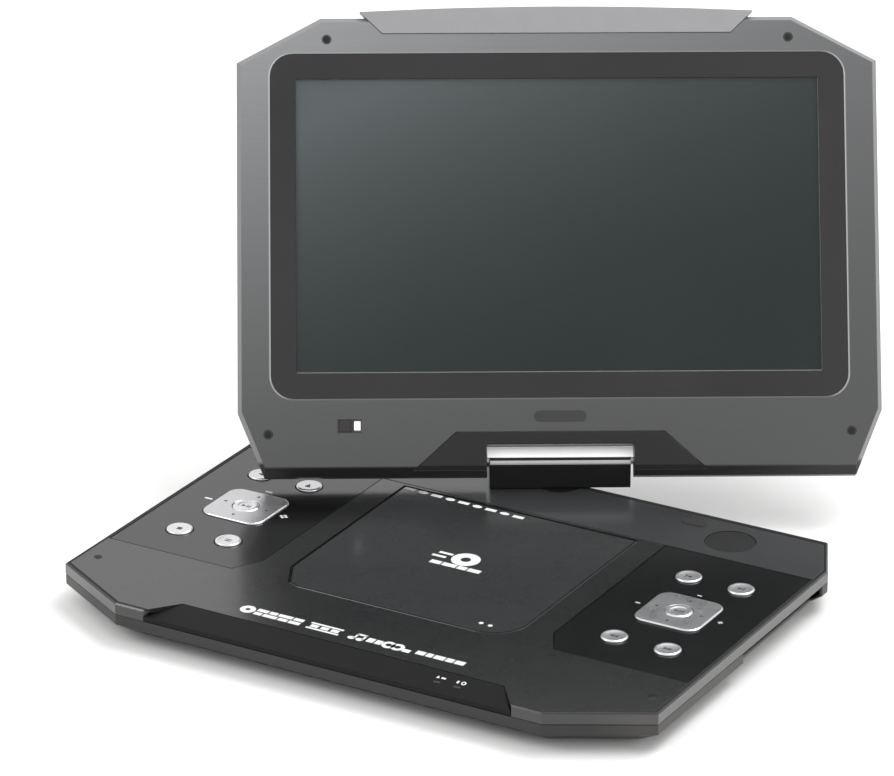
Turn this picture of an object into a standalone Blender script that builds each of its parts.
"""Portable disc player: a flat base with a pop-up disc door, and a wide screen on a swivelling, tilting hinge.

Metres, +Z up. The player stands open with its screen swivelled and leant back. The middle of its bounding box is
over the origin, and its feet stand on Z = 0. Most pieces are drawn in one of three local frames:
deck frame    origin at the middle of the deck's top face, X to the right, Y to the rear
head frame    the deck frame moved to the swivel axis and turned with the screen
screen frame  origin on the tilt axis, X along it, Y up the screen, Z out of the screen's front
"""

import math

import bmesh
import bpy
from mathutils import Matrix, Vector

MM = 0.001
GAP = 0.3 * MM  # left between pieces that touch

# Driving dimensions of the base, in the deck frame
BASE_WIDTH = 383.0 * MM
BASE_DEPTH = 275.6 * MM
BASE_HEIGHT = 24.0 * MM  # feet included
FRONT_CUT = (54.6 * MM, 31.1 * MM)  # corners cut off across X and along Y
REAR_CUT = (17.2 * MM, 35.9 * MM)
WALL = 2.4 * MM
DECK_THICKNESS = 2.5 * MM
SEAM_Z = -7.0 * MM  # where the top case meets the bottom case
SKIRT_Z = -13.2 * MM  # the bottom case starts to taper here
UNDERSIDE_Z = -21.7 * MM
UNDERSIDE_TAPER = 13.0 * MM
DECK_CHAMFER = 0.9 * MM
FLOOR_Z = UNDERSIDE_Z + 2.1 * MM  # inner floor of the bottom case

# Screen and hinge
SCREEN_WIDTH = 381.2 * MM
SCREEN_TOP = 264.0 * MM  # above the tilt axis
SCREEN_BOTTOM = -10.5 * MM
TOP_CUT = (50.1 * MM, 26.7 * MM)
BOTTOM_CUT = (15.7 * MM, 38.4 * MM)
SCREEN_FRONT = 13.0 * MM  # front face, out from the tilt axis
SCREEN_BACK = -6.0 * MM
SHELL_SEAM = 5.0 * MM
SWIVEL_Y = 132.8 * MM
TILT_Z = 15.5 * MM
SWIVEL_ANGLE = math.radians(31.0)  # 0 faces the front, 180 faces the rear
OPEN_ANGLE = math.radians(119.0)  # 0 is closed, 180 is flat open
NOTCH_HALF = 43.5 * MM
NOTCH_TOP = 8.1 * MM
PANEL_WIDTH = 309.4 * MM  # a 14 inch 16:9 display
PANEL_HEIGHT = 174.0 * MM
PANEL_CENTRE = 139.0 * MM
GLASS_WIDTH = 341.1 * MM
GLASS_HEIGHT = 205.9 * MM
GLASS_CORNER = 13.5 * MM

# Disc drive: a 120 mm disc on a snap-on hub, seen from above through the disc door
SPINDLE_Y = 8.2 * MM
WELL_RADIUS = 62.5 * MM
DOOR_HALF = 78.1 * MM
DOOR_REAR = 84.2 * MM
DOOR_FRONT = -67.8 * MM
DOOR_THICKNESS = 2.6 * MM
DOOR_GAP = 0.6 * MM
DOOR_PIVOT = (82.6 * MM, -1.3 * MM)  # Y and Z
PICKUP_NEAR = 24.0 * MM
PICKUP_TRAVEL = 34.0 * MM

# Controls
PAD_X = 143.0 * MM
PAD_Y = 10.6 * MM
PAD_SIZE = 41.0 * MM
KEY_RADIUS = 7.75 * MM
KEY_PLACES = {
    "front_inner": (126.5 * MM, -35.2 * MM),
    "front_outer": (159.8 * MM, -35.2 * MM),
    "rear_inner": (126.5 * MM, 54.7 * MM),
    "rear_outer": (159.8 * MM, 54.7 * MM),
}
PANEL_Z = -0.15 * MM
PANEL_SINK = 1.65 * MM

PARTS = None
CUTTERS = None


def clear_scene():
    """Empties the file and makes one collection for the parts and one for the cutters."""
    global PARTS, CUTTERS
    for obj in list(bpy.data.objects):
        bpy.data.objects.remove(obj, do_unlink=True)
    PARTS = bpy.data.collections.new("portable_disc_player")
    CUTTERS = bpy.data.collections.new("cutters")
    for collection in (PARTS, CUTTERS):
        bpy.context.scene.collection.children.link(collection)


def make_material(name, color, roughness, metallic=0.0):
    skin = bpy.data.materials.new(name)
    skin.use_nodes = True
    shader = skin.node_tree.nodes["Principled BSDF"]
    shader.inputs["Base Color"].default_value = (*color, 1.0)
    shader.inputs["Roughness"].default_value = roughness
    shader.inputs["Metallic"].default_value = metallic
    skin.diffuse_color = (*color, 1.0)
    return skin


def make_frame(name, parent=None, location=(0, 0, 0), rotation=(0, 0, 0)):
    """An empty that carries a local frame."""
    frame = bpy.data.objects.new(name, None)
    PARTS.objects.link(frame)
    frame.parent = parent
    frame.location = location
    frame.rotation_euler = rotation
    return frame


def place(name, mesh, skin, parent, at=(0, 0, 0)):
    """Puts a mesh in the parts collection under its own name."""
    obj = bpy.data.objects.new(name, mesh)
    PARTS.objects.link(obj)
    obj.parent = parent
    obj.location = at
    if not mesh.materials:
        mesh.materials.append(skin)
    return obj


def finish_mesh(name, bm):
    bmesh.ops.recalc_face_normals(bm, faces=bm.faces)
    mesh = bpy.data.meshes.new(name)
    bm.to_mesh(mesh)
    bm.free()
    return mesh


def use_as_tool(obj):
    """Moves an object out of the parts: it only shapes its neighbour."""
    PARTS.objects.unlink(obj)
    CUTTERS.objects.link(obj)
    obj.hide_render = True
    obj.display_type = "WIRE"


def combine(target, tool, operation="DIFFERENCE"):
    use_as_tool(tool)
    modifier = target.modifiers.new(tool.name, "BOOLEAN")
    modifier.operation = operation
    modifier.object = tool
    return target


def fuse(target, tool):
    return combine(target, tool, "UNION")


# Outlines are lists of (x, y) corners, anticlockwise


def arc(centre_x, centre_y, radius, start, end, steps):
    """Points on an arc, from start to end in degrees, both ends included."""
    turns = [math.radians(start + (end - start) * i / steps) for i in range(steps + 1)]
    return [(centre_x + radius * math.cos(t), centre_y + radius * math.sin(t)) for t in turns]


def circle(centre_x, centre_y, radius, steps=32):
    return arc(centre_x, centre_y, radius, 0, 360, steps)[:-1]


def rectangle(low_x, low_y, high_x, high_y):
    return [(low_x, low_y), (high_x, low_y), (high_x, high_y), (low_x, high_y)]


def rounded_rectangle(centre_x, centre_y, width, height, radius, steps=6):
    side_x, side_y = width / 2 - radius, height / 2 - radius
    points = []
    for quarter, (sign_x, sign_y) in enumerate(((1, 1), (-1, 1), (-1, -1), (1, -1))):
        start = 90 * quarter
        corner_x, corner_y = centre_x + sign_x * side_x, centre_y + sign_y * side_y
        points += arc(corner_x, corner_y, radius, start, start + 90, steps)
    return points


def mirrored(outline):
    """The outline on the other side of X = 0, still anticlockwise."""
    return [(-x, y) for x, y in reversed(outline)]


def inset(outline, distance):
    """The outline moved inwards, by one distance or by a distance for each edge."""
    count = len(outline)
    distances = distance if isinstance(distance, (list, tuple)) else [distance] * count
    lines = []
    for i, (x, y) in enumerate(outline):
        next_x, next_y = outline[(i + 1) % count]
        length = math.hypot(next_x - x, next_y - y)
        along = ((next_x - x) / length, (next_y - y) / length)
        inward = (-along[1], along[0])
        lines.append((x + inward[0] * distances[i], y + inward[1] * distances[i], *along))
    points = []
    for i in range(count):
        before_x, before_y, before_dx, before_dy = lines[i - 1]
        x, y, dx, dy = lines[i]
        cross = before_dx * dy - before_dy * dx
        if abs(cross) < 1e-9:
            points.append((x, y))
            continue
        step = ((x - before_x) * dy - (y - before_y) * dx) / cross
        points.append((before_x + before_dx * step, before_y + before_dy * step))
    return points


# Shapes


def plate(name, outlines, bottom, top, skin, parent, edge=0.0):
    """A flat sheet: the first outline is its edge, the others are holes. edge chamfers its rims."""
    curve = bpy.data.curves.new(name, "CURVE")
    curve.dimensions = "2D"
    curve.fill_mode = "BOTH"
    curve.extrude = (top - bottom) / 2 - edge
    curve.bevel_depth = edge
    curve.bevel_resolution = 0
    curve.offset = -edge
    for outline in outlines:
        spline = curve.splines.new("POLY")
        spline.points.add(len(outline) - 1)
        for point, (x, y) in zip(spline.points, outline):
            point.co = (x, y, 0, 1)
        spline.use_cyclic_u = True
    carrier = bpy.data.objects.new(name, curve)
    bpy.context.scene.collection.objects.link(carrier)
    graph = bpy.context.evaluated_depsgraph_get()
    mesh = bpy.data.meshes.new_from_object(carrier.evaluated_get(graph))
    bpy.data.objects.remove(carrier)
    bpy.data.curves.remove(curve)
    bm = bmesh.new()
    bm.from_mesh(mesh)
    bpy.data.meshes.remove(mesh)
    bmesh.ops.remove_doubles(bm, verts=bm.verts, dist=1e-6)
    bmesh.ops.translate(bm, verts=bm.verts, vec=(0, 0, (bottom + top) / 2))
    return place(name, finish_mesh(name, bm), skin, parent)


def stack(name, outline, levels, skin, parent):
    """A solid grown upwards through levels of (height, inset): walls, tapers, chamfers and ledges."""
    bm = bmesh.new()
    height, distance = levels[0]
    ring = [bm.verts.new((x, y, height)) for x, y in inset(outline, distance)]
    bottom = face = bm.faces.new(ring)
    for height, distance in levels[1:]:
        corners = [vert.co.copy() for vert in ring]
        grown = bmesh.ops.extrude_face_region(bm, geom=[face])["geom"]
        if face is not bottom:
            bmesh.ops.delete(bm, geom=[face], context="FACES_ONLY")
        new_verts = [item for item in grown if isinstance(item, bmesh.types.BMVert)]
        face = next(item for item in grown if isinstance(item, bmesh.types.BMFace))
        ring = [min(new_verts, key=lambda vert: (vert.co - corner).length) for corner in corners]
        for vert, (x, y) in zip(ring, inset(outline, distance)):
            vert.co = (x, y, height)
    return place(name, finish_mesh(name, bm), skin, parent)


def box(name, low, high, skin, parent):
    bm = bmesh.new()
    low, high = Vector(low), Vector(high)
    bmesh.ops.create_cube(bm, size=1)
    bmesh.ops.scale(bm, verts=bm.verts, vec=high - low)
    bmesh.ops.translate(bm, verts=bm.verts, vec=(low + high) / 2)
    return place(name, finish_mesh(name, bm), skin, parent)


def cylinder(name, radius, start, end, skin, parent, segments=24):
    """A round bar from one end's centre to the other's."""
    start, end = Vector(start), Vector(end)
    turn = (end - start).to_track_quat("Z", "Y").to_matrix().to_4x4()
    bm = bmesh.new()
    bmesh.ops.create_cone(
        bm,
        cap_ends=True,
        segments=segments,
        radius1=radius,
        radius2=radius,
        depth=(end - start).length,
        matrix=Matrix.Translation((start + end) / 2) @ turn,
    )
    return place(name, finish_mesh(name, bm), skin, parent)


def turned(name, profile, skin, parent, at=(0, 0, 0), steps=24):
    """A lathe shape from (radius, height) points, read down its outer side from top to bottom."""
    bm = bmesh.new()
    verts = [bm.verts.new((radius, 0, height)) for radius, height in profile]
    for first, second in zip(verts, verts[1:]):
        bm.edges.new((first, second))
    mesh = bpy.data.meshes.new(name)
    bm.to_mesh(mesh)
    bm.free()
    obj = place(name, mesh, skin, parent, at)
    screw = obj.modifiers.new("Screw", "SCREW")
    screw.steps = steps
    screw.render_steps = steps
    screw.use_merge_vertices = True
    screw.merge_threshold = 1e-6
    return obj


def extruded_section(name, section, start, end, skin, parent):
    """A bar along X whose section is given as (forward, height) points."""
    bm = bmesh.new()
    face = bm.faces.new([bm.verts.new((start, -forward, height)) for forward, height in section])
    grown = bmesh.ops.extrude_face_region(bm, geom=[face])["geom"]
    moved = [item for item in grown if isinstance(item, bmesh.types.BMVert)]
    bmesh.ops.translate(bm, verts=moved, vec=(end - start, 0, 0))
    return place(name, finish_mesh(name, bm), skin, parent)


# The base


def base_outline():
    half_width, half_depth = BASE_WIDTH / 2, BASE_DEPTH / 2
    right_side = [
        (half_width - FRONT_CUT[0], -half_depth),
        (half_width, -half_depth + FRONT_CUT[1]),
        (half_width, half_depth - REAR_CUT[1]),
        (half_width - REAR_CUT[0], half_depth),
    ]
    return right_side + mirrored(right_side)


TRIM_BACK = (103.4 * MM, -119.5 * MM)
TRIM_FRONT_HALF = 118.0 * MM
TRIM_DROP = 4.0 * MM
COLLAR_RADIUS = 12.5 * MM
COLLAR_DEPTH = 12.5 * MM
PIVOT_RADIUS = 4.5 * MM
PORT_FRONT = -5.0 * MM
PORT_REAR = 95.0 * MM
PORT_FACE_X = 184.0 * MM
HATCH = ((-168 * MM, -52 * MM), (-96 * MM, 72 * MM))
GRILLE_PLACE = (125.0 * MM, 110.0 * MM)
GRILLE_RADIUS = 14.8 * MM


def trim_outline(grow=0.0):
    back_half, back_y = TRIM_BACK
    front_y = -BASE_DEPTH / 2
    outline = [
        (-TRIM_FRONT_HALF, front_y),
        (TRIM_FRONT_HALF, front_y),
        (back_half, back_y),
        (-back_half, back_y),
    ]
    return inset(outline, [-3 * grow, -grow, -grow, -grow])


def make_bottom_case(skins, deck):
    levels = [(UNDERSIDE_Z, UNDERSIDE_TAPER), (SKIRT_Z, 0), (SEAM_Z - GAP / 2, 0)]
    case = stack("bottom_case", base_outline(), levels, skins["case"], deck)
    inner_taper = UNDERSIDE_TAPER - 0.2 * MM
    hollow = [(FLOOR_Z, inner_taper), (SKIRT_Z + 0.2 * MM, WALL), (SEAM_Z + 2 * MM, WALL)]
    combine(case, stack("case_hollow", base_outline(), hollow, skins["case"], deck))
    port_low = (PORT_FACE_X + GAP, PORT_FRONT, UNDERSIDE_Z - 2 * MM)
    port_high = (BASE_WIDTH / 2 + 5 * MM, PORT_REAR, SEAM_Z + 2 * MM)
    combine(case, box("port_cut", port_low, port_high, skins["case"], deck))
    hatch = rectangle(*HATCH[0], *HATCH[1])
    hatch_hole = plate("hatch_hole", [hatch], UNDERSIDE_Z - 2 * MM, FLOOR_Z + MM, skins["case"], deck)
    combine(case, hatch_hole)
    bottom, top = (0, SWIVEL_Y, -COLLAR_DEPTH - GAP), (0, SWIVEL_Y, 0)
    combine(case, cylinder("case_collar_cut", COLLAR_RADIUS + GAP, bottom, top, skins["case"], deck))
    return case


def make_top_case(skins, deck):
    levels = [(SEAM_Z + GAP / 2, 0), (-DECK_CHAMFER, 0), (0, DECK_CHAMFER)]
    case = stack("top_case", base_outline(), levels, skins["case"], deck)
    hollow = [(SEAM_Z - 2 * MM, WALL), (-DECK_THICKNESS, WALL)]
    combine(case, stack("deck_hollow", base_outline(), hollow, skins["case"], deck))
    below, above = SEAM_Z - 3 * MM, 3 * MM
    holes = {"trim_hole": trim_outline(GAP), "door_hole": inset(door_outline(), -DOOR_GAP)}
    for side, name in ((-1, "left"), (1, "right")):
        grille_x, grille_y = GRILLE_PLACE
        holes[f"grille_hole_{name}"] = circle(side * grille_x, grille_y, GRILLE_RADIUS + GAP)
        pad = rounded_rectangle(side * PAD_X, PAD_Y, PAD_SIZE + 2 * GAP, PAD_SIZE + 2 * GAP, PAD_CORNER)
        holes[f"pad_hole_{name}"] = pad
        for spot, (x, y) in KEY_PLACES.items():
            holes[f"key_hole_{name}_{spot}"] = circle(side * x, y, KEY_RADIUS + GAP, 24)
    for name, outline in holes.items():
        combine(case, plate(name, [outline], below, above, skins["case"], deck))
    for side, name in ((-1, "left"), (1, "right")):
        sink = inset(panel_outline(side), -GAP)
        combine(case, plate(f"panel_sink_{name}", [sink], -PANEL_SINK, above, skins["case"], deck))
        pin_start = (side * (DOOR_HALF - MM), *DOOR_PIVOT)
        pin_end = (side * (DOOR_HALF + 5.5 * MM), *DOOR_PIVOT)
        bore = cylinder(f"pin_bore_{name}", PIN_RADIUS + 0.25 * MM, pin_start, pin_end, skins["case"], deck, 12)
        combine(case, bore)
    bottom, top = (0, SWIVEL_Y, below), (0, SWIVEL_Y, above)
    combine(case, cylinder("deck_collar_cut", COLLAR_RADIUS + GAP, bottom, top, skins["case"], deck))
    return case


def make_front_trim(skins, deck):
    """A lip let into the front edge, whose top slopes down to the front."""
    trim = plate("front_trim", [trim_outline()], SEAM_Z + GAP, 0, skins["trim"], deck)
    for vert in trim.data.vertices:
        at_front = vert.co.y < -BASE_DEPTH / 2 + MM
        if at_front and vert.co.z > -MM:
            vert.co.z = -TRIM_DROP
    return trim


FOOT_RADIUS = 7.0 * MM
FOOT_PLACE = (146.0 * MM, 96.0 * MM)


def make_feet(skins, deck):
    bottom = -BASE_HEIGHT
    top = UNDERSIDE_Z - GAP
    profile = [
        (0, top),
        (FOOT_RADIUS, top),
        (FOOT_RADIUS, bottom + 0.6 * MM),
        (FOOT_RADIUS - 0.6 * MM, bottom),
        (0, bottom),
    ]
    for row, sign_y in (("front", -1), ("rear", 1)):
        for side, sign_x in (("left", -1), ("right", 1)):
            at = (sign_x * FOOT_PLACE[0], sign_y * FOOT_PLACE[1], 0)
            turned(f"foot_{row}_{side}", profile, skins["rubber"], deck, at)


BATTERY_CENTRE = (-132.0 * MM, 10.0 * MM)
BATTERY_SIZE = (80.0 * MM, 140.0 * MM)
BATTERY_TOP = -9.2 * MM
BOARD_THICKNESS = 1.6 * MM
MAIN_BOARD = ((90.0 * MM, -60.0 * MM), (164.0 * MM, 90.0 * MM))
MAIN_BOARD_TOP = -13.0 * MM
KEY_BOARD = ((105.0 * MM, -50.0 * MM), (165.4 * MM, 70.0 * MM))
KEY_BOARD_TOP = -6.5 * MM
GRILLE_LEVELS = (-2.4 * MM, -0.3 * MM)
SPEAKER_PROFILE = (  # radius and height: rim, cone basket and magnet
    (0, -2.9 * MM),
    (12.5 * MM, -2.9 * MM),
    (14.5 * MM, -4.4 * MM),
    (14.5 * MM, -7 * MM),
    (9 * MM, -10 * MM),
    (9 * MM, -15.6 * MM),
    (0, -15.6 * MM),
)


def make_base_inside(skins, deck):
    """Battery and its hatch, boards, speakers, and the sockets behind the right side wall."""
    (hatch_x0, hatch_y0), (hatch_x1, hatch_y1) = HATCH
    cover = rectangle(hatch_x0 + GAP, hatch_y0 + GAP, hatch_x1 - GAP, hatch_y1 - GAP)
    plate("battery_cover", [cover], UNDERSIDE_Z + 0.2 * MM, FLOOR_Z - 0.2 * MM, skins["case"], deck)
    battery = rounded_rectangle(*BATTERY_CENTRE, *BATTERY_SIZE, 5 * MM, 2)
    plate("battery_pack", [battery], FLOOR_Z + 0.4 * MM, BATTERY_TOP, skins["battery"], deck)
    board = rectangle(*MAIN_BOARD[0], *MAIN_BOARD[1])
    main_bottom = MAIN_BOARD_TOP - BOARD_THICKNESS
    plate("main_board", [board], main_bottom, MAIN_BOARD_TOP, skins["board"], deck)
    (key_near, key_front), (key_far, key_rear) = KEY_BOARD
    key_bottom = KEY_BOARD_TOP - 1.4 * MM
    for side, name in ((-1, "left"), (1, "right")):
        low, high = sorted((side * key_near, side * key_far))
        board = rectangle(low, key_front, high, key_rear)
        plate(f"key_board_{name}", [board], key_bottom, KEY_BOARD_TOP, skins["board"], deck)
        grille_bottom, grille_top = GRILLE_LEVELS
        rim = [(GRILLE_RADIUS, grille_top), (GRILLE_RADIUS, grille_bottom)]
        grille = [(0, grille_top), *rim, (0, grille_bottom)]
        at = (side * GRILLE_PLACE[0], GRILLE_PLACE[1], 0)
        turned(f"speaker_{name}", SPEAKER_PROFILE, skins["speaker"], deck, at)
        turned(f"speaker_grille_{name}", grille, skins["grille"], deck, at, 32)


USB_CENTRE_Y = 30.0 * MM
USB_SIZE = (13.0 * MM, 5.6 * MM)
POWER_INLET_Y = 84.0 * MM
POWER_INLET_RADIUS = 3.4 * MM
JACK_PLACES = (50.0 * MM, 62.0 * MM)
JACK_RADIUS = 1.9 * MM
SOCKET_Z = -11.7 * MM
SOCKET_DEPTH = 11.0 * MM
SWITCH_Y = 8.0 * MM
SWITCH_SLOT = (5.0 * MM, 1.6 * MM)  # half its length and half its height
SWITCH_KNOB = (5.6 * MM, 1.2 * MM)  # its length and half its height
BLOCK_BACK_X = 166.0 * MM
BLOCK_LEVELS = (-15.9 * MM, -7.5 * MM)


def make_jack_block(skins, deck):
    """One moulded block with every socket on the right side, and the power switch's slider."""
    block = box(
        "jack_block",
        (BLOCK_BACK_X, PORT_FRONT + GAP, BLOCK_LEVELS[0]),
        (PORT_FACE_X, PORT_REAR - GAP, BLOCK_LEVELS[1]),
        skins["socket"],
        deck,
    )
    back_x, front_x = PORT_FACE_X - SOCKET_DEPTH, PORT_FACE_X + 2 * MM
    usb_low = (back_x, USB_CENTRE_Y - USB_SIZE[0] / 2, SOCKET_Z - USB_SIZE[1] / 2)
    usb_high = (front_x, USB_CENTRE_Y + USB_SIZE[0] / 2, SOCKET_Z + USB_SIZE[1] / 2)
    combine(block, box("usb_hole", usb_low, usb_high, skins["socket"], deck))
    round_holes = [(y, JACK_RADIUS) for y in JACK_PLACES] + [(POWER_INLET_Y, POWER_INLET_RADIUS)]
    for y, radius in round_holes:
        start, end = (back_x, y, SOCKET_Z), (front_x, y, SOCKET_Z)
        hole = cylinder(f"socket_hole_{y / MM:.0f}", radius, start, end, skins["socket"], deck, 16)
        combine(block, hole)
    slot_half, slot_rise = SWITCH_SLOT
    slot_low = (PORT_FACE_X - 4 * MM, SWITCH_Y - slot_half, SOCKET_Z - slot_rise)
    slot_high = (front_x, SWITCH_Y + slot_half, SOCKET_Z + slot_rise)
    combine(block, box("switch_slot", slot_low, slot_high, skins["socket"], deck))
    knob_length, knob_rise = SWITCH_KNOB
    knob_front = SWITCH_Y - slot_half + 2 * GAP
    knob_low = (PORT_FACE_X - 3.6 * MM, knob_front, SOCKET_Z - knob_rise)
    knob_high = (PORT_FACE_X + knob_rise + 0.4 * MM, knob_front + knob_length, SOCKET_Z + knob_rise)
    box("power_switch", knob_low, knob_high, skins["silver"], deck)


# The disc drive


PIN_RADIUS = 0.7 * MM
WELL_TOP = -3.6 * MM
WELL_FLOOR = -9.0 * MM
WELL_BOTTOM = -10.2 * MM
ROD_X = 24.0 * MM
ROD_RADIUS = 1.5 * MM
ROD_Z = -13.6 * MM
SCREW_X = 32.5 * MM
BAY = ((-38 * MM, -68 * MM), (38 * MM, 28 * MM))
CATCH_X = 55.0 * MM
DOOR_CORNER = 22.0 * MM
WELL_INSET = 6.0 * MM  # how far inside the door's outline the well starts
HUB_HOLE_RADIUS = 17.0 * MM
LENS_SLOT_HALF = 9.0 * MM
CHASSIS_RIM = 8.0 * MM
CHASSIS_LEVELS = (-14.6 * MM, -12.4 * MM)
MOTOR_RADIUS = 12.5 * MM
MOTOR_LEVELS = (-18.9 * MM, -11.4 * MM)
SHAFT_BORE = (2.0 * MM, -17.2 * MM)  # radius and bottom of the bore for the turntable's shaft
TURNTABLE_PROFILE = (  # radius and height: snap-on hub, platter, collar and shaft
    (0, -4.6 * MM),
    (6.0 * MM, -4.6 * MM),
    (7.3 * MM, -5.6 * MM),
    (7.3 * MM, -7.6 * MM),
    (15.0 * MM, -7.6 * MM),
    (15.0 * MM, -8.8 * MM),
    (4.0 * MM, -8.8 * MM),
    (4.0 * MM, -10.6 * MM),
    (1.5 * MM, -10.6 * MM),
    (1.5 * MM, -16.8 * MM),
    (0, -16.8 * MM),
)
TONGUE_SECTION = (  # Y in the deck frame, and height below the door's underside
    (-62.5 * MM, 0.5 * MM),
    (-62.5 * MM, -5.6 * MM),
    (-67.0 * MM, -5.6 * MM),
    (-67.0 * MM, -4.4 * MM),
    (-65.0 * MM, -4.0 * MM),
    (-65.0 * MM, 0.5 * MM),
)
SCREW_END_Y = 5.0 * MM
SLED_MOTOR_RADIUS = 3.1 * MM
SLED_TOP = -11.4 * MM
LENS_RADIUS = 4.5 * MM
LENS_TOP = -9.2 * MM


def door_outline():
    front_left = [(-DOOR_HALF + 1.5 * MM, -46.5 * MM), (-66.9 * MM, DOOR_FRONT + 3 * MM)]
    middle = DOOR_HALF - DOOR_CORNER, DOOR_FRONT + DOOR_CORNER
    right_corner = arc(*middle, DOOR_CORNER, -90, 0, 8)
    rear = [(DOOR_HALF, DOOR_REAR), (-DOOR_HALF, DOOR_REAR)]
    return front_left + [(-60 * MM, DOOR_FRONT)] + right_corner + rear


def make_disc_door(skins, door):
    """Drawn in the door's own frame, whose origin is on its pivot."""
    pivot_y, pivot_z = DOOR_PIVOT
    local = [(x, y - pivot_y) for x, y in door_outline()]
    top = -pivot_z
    lid = plate("disc_door", [local], top - DOOR_THICKNESS, top, skins["door"], door, 0.4 * MM)
    under = top - DOOR_THICKNESS
    section = [(-(y - pivot_y), under + z) for y, z in TONGUE_SECTION]
    hook = extruded_section("door_tongue", section, CATCH_X - 3 * MM, CATCH_X + 3 * MM, skins["door"], door)
    fuse(lid, hook)
    for side, name in ((-1, "left"), (1, "right")):
        inner, outer = side * (DOOR_HALF - 6 * MM), side * (DOOR_HALF + 5 * MM)
        hole_end = side * (DOOR_HALF + 2 * MM)
        hole_start = inner - side * GAP
        bore_ends = (hole_start, 0, 0), (hole_end, 0, 0)
        bore = cylinder(f"door_bore_{name}", PIN_RADIUS + 0.1 * MM, *bore_ends, skins["door"], door, 12)
        combine(lid, bore)
        pin_ends = (inner, 0, 0), (outer, 0, 0)
        cylinder(f"door_pin_{name}", PIN_RADIUS, *pin_ends, skins["steel"], door, 12)


def make_drive(skins, deck):
    """Disc well, and under it the chassis with the spindle motor and the pickup on its two rods."""
    outline = inset(door_outline(), -WELL_INSET)
    well = plate("disc_well", [outline], WELL_BOTTOM, WELL_TOP, skins["well"], deck)
    tools = [
        plate("well_pocket", [circle(0, SPINDLE_Y, WELL_RADIUS, 48)], WELL_FLOOR, 0, skins["well"], deck),
        plate("hub_hole", [circle(0, SPINDLE_Y, HUB_HOLE_RADIUS)], -14 * MM, 0, skins["well"], deck),
    ]
    slot_far = SPINDLE_Y - PICKUP_NEAR - PICKUP_TRAVEL - 8 * MM
    slot = rectangle(-LENS_SLOT_HALF, slot_far, LENS_SLOT_HALF, SPINDLE_Y)
    tools.append(plate("lens_slot", [slot], -14 * MM, 0, skins["well"], deck))
    catch_pocket = rectangle(CATCH_X - 9 * MM, -90 * MM, CATCH_X + 9 * MM, -61 * MM)
    tools.append(plate("catch_pocket", [catch_pocket], WELL_FLOOR, 0, skins["well"], deck))
    for tool in tools:
        combine(well, tool)

    bay = rectangle(*BAY[0], *BAY[1])
    chassis = inset(bay, -CHASSIS_RIM)
    plate("drive_chassis", [chassis, bay], *CHASSIS_LEVELS, skins["steel"], deck)
    body = circle(0, SPINDLE_Y, MOTOR_RADIUS)
    motor = plate("spindle_motor", [body], *MOTOR_LEVELS, skins["steel"], deck)
    bore_radius, bore_bottom = SHAFT_BORE
    bore = circle(0, SPINDLE_Y, bore_radius, 16)
    combine(motor, plate("motor_bore", [bore], bore_bottom, 0, skins["steel"], deck))
    turned("turntable", TURNTABLE_PROFILE, skins["grille"], deck, (0, SPINDLE_Y, 0), 32)

    rod_start, rod_end = BAY[0][1] + GAP, BAY[1][1] - GAP
    for side, name in ((-1, "left"), (1, "right")):
        start, end = (side * ROD_X, rod_start, ROD_Z), (side * ROD_X, rod_end, ROD_Z)
        cylinder(f"guide_rod_{name}", ROD_RADIUS, start, end, skins["steel"], deck, 12)
    start, end = (SCREW_X, rod_start, ROD_Z), (SCREW_X, SCREW_END_Y, ROD_Z)
    cylinder("lead_screw", ROD_RADIUS, start, end, skins["steel"], deck, 12)
    start, end = (SCREW_X, SCREW_END_Y + GAP, ROD_Z), (SCREW_X, rod_end, ROD_Z)
    cylinder("sled_motor", SLED_MOTOR_RADIUS, start, end, skins["steel"], deck, 16)

    lens_y = SPINDLE_Y - PICKUP_NEAR
    sled = box(
        "optical_pickup",
        (-21.5 * MM, lens_y - 13 * MM, -17 * MM),
        (21.5 * MM, lens_y + 9 * MM, SLED_TOP),
        skins["pickup"],
        deck,
    )
    ears = box(
        "sled_ears",
        (-27 * MM, lens_y - 10 * MM, -11.8 * MM),
        (27 * MM, lens_y + 6 * MM, -10.8 * MM),
        skins["pickup"],
        deck,
    )
    arm = box(
        "sled_arm",
        (20 * MM, lens_y - 4 * MM, -17.2 * MM),
        (34 * MM, lens_y + 2 * MM, -15.6 * MM),
        skins["pickup"],
        deck,
    )
    lens_ends = (0, lens_y, SLED_TOP - 0.1 * MM), (0, lens_y, LENS_TOP)
    lens = cylinder("sled_lens", LENS_RADIUS, *lens_ends, skins["pickup"], deck, 20)
    for tool in (ears, arm, lens):
        fuse(sled, tool)
    box(
        "door_catch",
        (CATCH_X - 7 * MM, -73.5 * MM, -7.6 * MM),
        (CATCH_X + 7 * MM, -67.6 * MM, -4.2 * MM),
        skins["silver"],
        deck,
    )


# Controls


PANEL_INNER_X = 95.0 * MM
PANEL_OUTER_X = BASE_WIDTH / 2 - 3.2 * MM
PANEL_ENDS = (-65.8 * MM, 87.0 * MM)  # its front and rear
PANEL_CUT = (10.0 * MM, 18.0 * MM)
PAD_CORNER = 9.0 * MM
FLANGE_TOP = -3.0 * MM  # of the keys and pads, under the panel
STEM_BOTTOM = -5.6 * MM
STEM_RADIUS = 2.0 * MM
CENTRE_RADIUS = 8.0 * MM


def panel_outline(side):
    """The dark inlay round one side's buttons: side is -1 for the left and 1 for the right."""
    front, rear = PANEL_ENDS
    outline = [
        (PANEL_INNER_X + PANEL_CUT[0], front),
        (PANEL_OUTER_X, front),
        (PANEL_OUTER_X, rear),
        (PANEL_INNER_X, rear),
        (PANEL_INNER_X, front + PANEL_CUT[1]),
    ]
    return outline if side > 0 else mirrored(outline)


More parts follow.
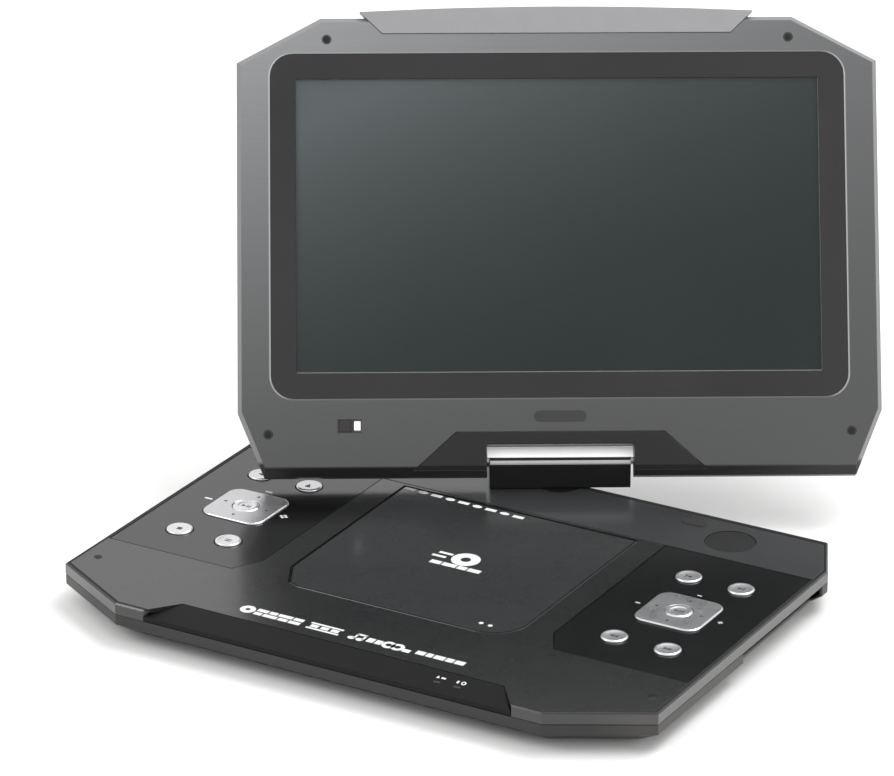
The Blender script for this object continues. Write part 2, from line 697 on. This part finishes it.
def make_controls(skins, deck):
    for side, name in ((-1, "left"), (1, "right")):
        holes = [rounded_rectangle(side * PAD_X, PAD_Y, PAD_SIZE + 2 * GAP, PAD_SIZE + 2 * GAP, PAD_CORNER)]
        holes += [circle(side * x, y, KEY_RADIUS + GAP, 24) for x, y in KEY_PLACES.values()]
        outlines = [panel_outline(side)] + holes
        plate(f"key_panel_{name}", outlines, -PANEL_SINK + GAP, PANEL_Z, skins["panel"], deck)
        for spot, (x, y) in KEY_PLACES.items():
            key = [
                (0, 1.1 * MM),
                (KEY_RADIUS - 1.2 * MM, 1.0 * MM),
                (KEY_RADIUS, 0.3 * MM),
                (KEY_RADIUS, FLANGE_TOP),
                (KEY_RADIUS + 1.2 * MM, FLANGE_TOP),
                (KEY_RADIUS + 1.2 * MM, FLANGE_TOP - MM),
                (STEM_RADIUS, FLANGE_TOP - MM),
                (STEM_RADIUS, STEM_BOTTOM),
                (0, STEM_BOTTOM),
            ]
            turned(f"key_{name}_{spot}", key, skins["silver"], deck, (side * x, y, 0))
        flange = PAD_SIZE + 3 * MM
        pad_levels = [
            (FLANGE_TOP - 1.2 * MM, 0),
            (FLANGE_TOP, 0),
            (FLANGE_TOP, 1.5 * MM),
            (0.4 * MM, 1.5 * MM),
            (1.0 * MM, 2.3 * MM),
        ]
        pad_outline = rounded_rectangle(side * PAD_X, PAD_Y, flange, flange, 9.5 * MM)
        pad = stack(f"nav_pad_{name}", pad_outline, pad_levels, skins["silver"], deck)
        bore = circle(side * PAD_X, PAD_Y, CENTRE_RADIUS + 0.4 * MM)
        combine(pad, plate(f"pad_bore_{name}", [bore], -8 * MM, 4 * MM, skins["silver"], deck))
        centre = [
            (0, 1.3 * MM),
            (CENTRE_RADIUS - 1.2 * MM, 1.2 * MM),
            (CENTRE_RADIUS, 0.6 * MM),
            (CENTRE_RADIUS, FLANGE_TOP - 1.2 * MM),
            (STEM_RADIUS, FLANGE_TOP - 1.2 * MM),
            (STEM_RADIUS, STEM_BOTTOM),
            (0, STEM_BOTTOM),
        ]
        turned(f"nav_centre_{name}", centre, skins["silver"], deck, (side * PAD_X, PAD_Y, 0))


# The hinge


HEAD_HALF = 41.7 * MM
HEAD_RADIUS = 7.6 * MM
CAP_THICKNESS = 1.0 * MM
SHAFT_RADIUS = 3.0 * MM
SHAFT_REACH = 18.0 * MM
CAP_ANGLES = (35.6, 178)  # in degrees above the front horizontal
STRIP_ANGLES = (1, 21.5)
HEAD_BOTTOM = 0.7 * MM
COLLAR_TOP = 0.4 * MM
PIVOT_BOTTOM = -11.5 * MM


def ring_section(outer, inner, start, end, steps):
    """A strip bent round the tilt axis, between two angles above the horizontal."""
    outside = arc(0, TILT_Z, outer, start, end, steps)
    inside = arc(0, TILT_Z, inner, end, start, steps)
    return outside + inside


def make_hinge(skins, deck, head):
    collar = plate(
        "swivel_collar",
        [circle(0, SWIVEL_Y, COLLAR_RADIUS, 40), circle(0, SWIVEL_Y, PIVOT_RADIUS + 0.4 * MM)],
        -COLLAR_DEPTH,
        COLLAR_TOP,
        skins["hinge"],
        deck,
    )
    collar.data.shade_smooth()
    collar.data.set_sharp_from_angle(angle=math.radians(35))
    cylinder("swivel_pivot", PIVOT_RADIUS, (0, 0, PIVOT_BOTTOM), (0, 0, COLLAR_TOP), skins["steel"], head)

    core_radius = HEAD_RADIUS - CAP_THICKNESS - GAP
    shoulder = TILT_Z - GAP
    section = [(-HEAD_RADIUS, HEAD_BOTTOM), (HEAD_RADIUS, HEAD_BOTTOM), (HEAD_RADIUS, shoulder)]
    section += [(core_radius, shoulder)]
    section += arc(0, TILT_Z, core_radius, 0, 180, 16)
    section += [(-core_radius, shoulder), (-HEAD_RADIUS, shoulder)]
    extruded_section("hinge_block", section, -HEAD_HALF, HEAD_HALF, skins["hinge"], head)
    cap = ring_section(HEAD_RADIUS, HEAD_RADIUS - CAP_THICKNESS, *CAP_ANGLES, 16)
    cap_half = NOTCH_HALF - GAP
    extruded_section("hinge_cap", cap, -cap_half, cap_half, skins["chrome"], head)
    strip = ring_section(HEAD_RADIUS, HEAD_RADIUS - CAP_THICKNESS, *STRIP_ANGLES, 4)
    extruded_section("hinge_strip", strip, -HEAD_HALF, HEAD_HALF, skins["chrome"], head)
    for side, name in ((-1, "left"), (1, "right")):
        start = (side * (HEAD_HALF + GAP), 0, TILT_Z)
        end = (side * (HEAD_HALF + SHAFT_REACH), 0, TILT_Z)
        cylinder(f"hinge_shaft_{name}", SHAFT_RADIUS, start, end, skins["steel"], head, 20)


# The screen, drawn in the screen frame


COVER_TOP = 15.6 * MM
COVER_TOP_HALF = 61.7 * MM
COVER_BOTTOM = -6.9 * MM
COVER_BOTTOM_HALF = 86.5 * MM
CHAMFER_START = 9.5 * MM
SIDE_CHAMFER = 2.8 * MM
BOTTOM_CHAMFER = 6.0 * MM
LEDGE = 11.55 * MM  # the window glass lies on this level
BAR_BOTTOM = (103.7 * MM, 254.2 * MM)
BAR_TOP = (117.4 * MM, 267.4 * MM)
BAR_CROWN = 270.2 * MM
SENSOR_CENTRE = (-127.2 * MM, 19.6 * MM)
SENSOR_SIZE = 6.8 * MM
WINDOW_MARGIN = 12.0 * MM  # between the glass's edge and the opening under it, both sides together
SEAT_DEPTH = 1.7 * MM  # of the seats of the hinge cover and the bar
DISPLAY_MARGIN = (13.0 * MM, 12.0 * MM)
DISPLAY_LEVELS = (7.6 * MM, 11.4 * MM)
DRIVER_BOARD = ((-100.0 * MM, 60.0 * MM), (100.0 * MM, 120.0 * MM))
DRIVER_BOARD_LEVELS = (-2.4 * MM, -0.8 * MM)


def screen_outline():
    half = SCREEN_WIDTH / 2
    right_side = [
        (NOTCH_HALF, NOTCH_TOP),
        (NOTCH_HALF, SCREEN_BOTTOM),
        (half - BOTTOM_CUT[0], SCREEN_BOTTOM),
        (half, SCREEN_BOTTOM + BOTTOM_CUT[1]),
        (half, SCREEN_TOP - TOP_CUT[1]),
        (half - TOP_CUT[0], SCREEN_TOP),
    ]
    return right_side + mirrored(right_side)


def screen_edges(notch, bottom, others):
    """One inset for each edge of the screen's outline, in its order."""
    distances = []
    outline = screen_outline()
    for i, (x, y) in enumerate(outline):
        next_x, next_y = outline[(i + 1) % len(outline)]
        in_notch = abs(x) <= NOTCH_HALF + 1e-6 and abs(next_x) <= NOTCH_HALF + 1e-6
        on_bottom = abs(y - SCREEN_BOTTOM) < 1e-6 and abs(next_y - SCREEN_BOTTOM) < 1e-6
        distances.append(notch if in_notch else bottom if on_bottom else others)
    return distances


def cover_outline():
    right_side = [
        (NOTCH_HALF, NOTCH_TOP),
        (NOTCH_HALF, COVER_BOTTOM),
        (COVER_BOTTOM_HALF, COVER_BOTTOM),
        (COVER_TOP_HALF, COVER_TOP),
    ]
    return right_side + mirrored(right_side)


def bar_outline(bottom):
    """The bright bar along the top edge: its upper side is a shallow crown."""
    bottom_half, bottom_v = BAR_BOTTOM
    top_half, top_v = BAR_TOP
    slope = (top_half - bottom_half) / (top_v - bottom_v)
    low_half = bottom_half + slope * (bottom - bottom_v)
    crown = []
    steps = 12
    for i in range(steps + 1):
        across = 1 - 2 * i / steps
        crown.append((top_half * across, top_v + (BAR_CROWN - top_v) * (1 - across**2)))
    return [(-low_half, bottom), (low_half, bottom)] + crown


def make_screen_shells(skins, screen):
    front_edges = screen_edges(0.5 * MM, BOTTOM_CHAMFER, SIDE_CHAMFER)
    levels = [(SHELL_SEAM + GAP, 0), (CHAMFER_START, 0), (SCREEN_FRONT, front_edges)]
    bezel = stack("screen_bezel", screen_outline(), levels, skins["screen"], screen)
    hollow_top = 10.0 * MM
    hollow = [(SHELL_SEAM - MM, WALL), (hollow_top - 2 * MM, WALL), (hollow_top, WALL + 1.5 * MM)]
    tools = [stack("bezel_hollow", screen_outline(), hollow, skins["screen"], screen)]
    above = SCREEN_FRONT + 3 * MM
    open_width, open_height = GLASS_WIDTH - WINDOW_MARGIN, GLASS_HEIGHT - WINDOW_MARGIN
    window = rounded_rectangle(0, PANEL_CENTRE, open_width, open_height, 6 * MM, 2)
    tools.append(plate("window", [window], 0, above, skins["screen"], screen))
    seat_size = GLASS_WIDTH + 2 * GAP, GLASS_HEIGHT + 2 * GAP
    seat = rounded_rectangle(0, PANEL_CENTRE, *seat_size, GLASS_CORNER)
    tools.append(plate("glass_seat", [seat], LEDGE, above, skins["screen"], screen))
    cover_seat = inset(cover_outline(), -GAP)
    seat_level = SCREEN_FRONT - SEAT_DEPTH
    tools.append(plate("cover_seat", [cover_seat], seat_level, above, skins["screen"], screen))
    bar_seat = inset(bar_outline(BAR_BOTTOM[1]), -GAP)
    tools.append(plate("bar_seat", [bar_seat], seat_level, above, skins["screen"], screen))
    sensor = rounded_rectangle(*SENSOR_CENTRE, SENSOR_SIZE + 2 * GAP, SENSOR_SIZE + 2 * GAP, 0.8 * MM, 2)
    tools.append(plate("sensor_seat", [sensor], SCREEN_FRONT - 1.6 * MM, above, skins["screen"], screen))
    for tool in tools:
        combine(bezel, tool)

    back_levels = [
        (SCREEN_BACK, screen_edges(0.3 * MM, 3 * MM, 5 * MM)),
        (SCREEN_BACK + 2.5 * MM, screen_edges(0, 0.6 * MM, 1 * MM)),
        (SCREEN_BACK + 5.5 * MM, 0),
        (SHELL_SEAM, 0),
    ]
    back = stack("screen_back", screen_outline(), back_levels, skins["screen_back"], screen)
    inside = [
        (SCREEN_BACK + 2.2 * MM, WALL + 3.4 * MM),
        (SCREEN_BACK + 4.6 * MM, WALL),
        (SHELL_SEAM + 2 * MM, WALL),
    ]
    combine(back, stack("back_hollow", screen_outline(), inside, skins["screen"], screen))
    for side, name in ((-1, "left"), (1, "right")):
        start, end = (side * (NOTCH_HALF - 3 * MM), 0, 0), (side * (NOTCH_HALF + 6 * MM), 0, 0)
        bore = cylinder(f"shaft_bore_{name}", SHAFT_RADIUS + 0.4 * MM, start, end, skins["screen"], screen)
        combine(back, bore)


def make_screen_fittings(skins, screen):
    glass = rounded_rectangle(0, PANEL_CENTRE, GLASS_WIDTH, GLASS_HEIGHT, GLASS_CORNER)
    plate("screen_glass", [glass], LEDGE + GAP, SCREEN_FRONT - 0.1 * MM, skins["glass"], screen)
    module_width, module_height = PANEL_WIDTH + DISPLAY_MARGIN[0], PANEL_HEIGHT + DISPLAY_MARGIN[1]
    module = rounded_rectangle(0, PANEL_CENTRE, module_width, module_height, 2 * MM, 1)
    plate("display_panel", [module], *DISPLAY_LEVELS, skins["display"], screen)
    board = rectangle(*DRIVER_BOARD[0], *DRIVER_BOARD[1])
    plate("driver_board", [board], *DRIVER_BOARD_LEVELS, skins["board"], screen)

    cover = cover_outline()
    rim = [0.4 * MM] * len(cover)
    for i, (x, y) in enumerate(cover):
        if y == COVER_BOTTOM and cover[(i + 1) % len(cover)][1] == COVER_BOTTOM:
            rim[i] = 2.6 * MM
    fitting_bottom = SCREEN_FRONT - SEAT_DEPTH + GAP
    cover_levels = [(fitting_bottom, 0.0), (SCREEN_FRONT + 0.1 * MM, rim)]
    stack("hinge_cover", cover, cover_levels, skins["cover"], screen)

    bar_front = SCREEN_FRONT + 0.4 * MM
    front = bar_outline(BAR_BOTTOM[1])
    bar = plate("top_bar", [front], fitting_bottom, bar_front, skins["bar"], screen)
    lip = bar_outline(SCREEN_TOP + GAP)
    lip_top = fitting_bottom + 0.5 * MM
    fuse(bar, plate("bar_lip", [lip], SHELL_SEAM + GAP, lip_top, skins["bar"], screen))
    window = rounded_rectangle(*SENSOR_CENTRE, SENSOR_SIZE, SENSOR_SIZE, 0.8 * MM, 2)
    plate("sensor_window", [window], SCREEN_FRONT - 1.3 * MM, SCREEN_FRONT + 0.1 * MM, skins["sensor"], screen)


def stand_on_origin(root):
    """Moves the whole player so that the middle of its box is over the origin."""
    bpy.context.view_layer.update()
    graph = bpy.context.evaluated_depsgraph_get()
    corners = []
    for obj in PARTS.objects:
        if obj.type == "MESH":
            solid = obj.evaluated_get(graph)
            corners += [solid.matrix_world @ vert.co for vert in solid.data.vertices]
    for axis in (0, 1):
        values = [corner[axis] for corner in corners]
        root.location[axis] = -(min(values) + max(values)) / 2
    root.location.z = BASE_HEIGHT


def main():
    clear_scene()
    skins = {
        "case": make_material("case_charcoal", (0.045, 0.045, 0.05), 0.42),
        "trim": make_material("trim_charcoal", (0.035, 0.035, 0.042), 0.35),
        "door": make_material("door_charcoal", (0.04, 0.04, 0.046), 0.4),
        "panel": make_material("key_panel_black", (0.022, 0.022, 0.026), 0.3),
        "silver": make_material("key_silver", (0.5, 0.5, 0.52), 0.32, 0.6),
        "rubber": make_material("foot_rubber", (0.02, 0.02, 0.02), 0.85),
        "battery": make_material("battery_wrap", (0.03, 0.05, 0.09), 0.5),
        "board": make_material("circuit_board", (0.02, 0.09, 0.04), 0.5),
        "speaker": make_material("speaker_frame", (0.06, 0.06, 0.06), 0.5, 0.5),
        "grille": make_material("grille_black", (0.012, 0.012, 0.014), 0.5),
        "socket": make_material("socket_black", (0.02, 0.02, 0.02), 0.5),
        "well": make_material("well_black", (0.025, 0.025, 0.028), 0.45),
        "steel": make_material("bright_steel", (0.55, 0.55, 0.56), 0.3, 1.0),
        "pickup": make_material("pickup_grey", (0.12, 0.12, 0.13), 0.4, 0.4),
        "hinge": make_material("hinge_black", (0.012, 0.012, 0.014), 0.35),
        "chrome": make_material("chrome", (0.86, 0.87, 0.88), 0.07, 1.0),
        "screen": make_material("screen_grey", (0.12, 0.12, 0.125), 0.38),
        "screen_back": make_material("screen_back_grey", (0.07, 0.07, 0.075), 0.4),
        "glass": make_material("screen_glass", (0.05, 0.055, 0.055), 0.06),
        "display": make_material("display_grey", (0.04, 0.045, 0.044), 0.2),
        "cover": make_material("hinge_cover_black", (0.035, 0.035, 0.038), 0.35),
        "bar": make_material("bar_silver", (0.4, 0.4, 0.42), 0.3, 0.7),
        "sensor": make_material("sensor_black", (0.01, 0.01, 0.012), 0.12),
    }
    root = make_frame("player_frame")
    deck = make_frame("deck_frame", root)
    head = make_frame("head_frame", deck, (0, SWIVEL_Y, 0), (0, 0, SWIVEL_ANGLE))
    screen = make_frame("screen_frame", head, (0, 0, TILT_Z), (math.pi - OPEN_ANGLE, 0, 0))
    door = make_frame("door_frame", deck, (0, *DOOR_PIVOT))
    make_bottom_case(skins, deck)
    make_top_case(skins, deck)
    make_front_trim(skins, deck)
    make_feet(skins, deck)
    make_base_inside(skins, deck)
    make_jack_block(skins, deck)
    make_disc_door(skins, door)
    make_drive(skins, deck)
    make_controls(skins, deck)
    make_hinge(skins, deck, head)
    make_screen_shells(skins, screen)
    make_screen_fittings(skins, screen)
    stand_on_origin(root)


main()
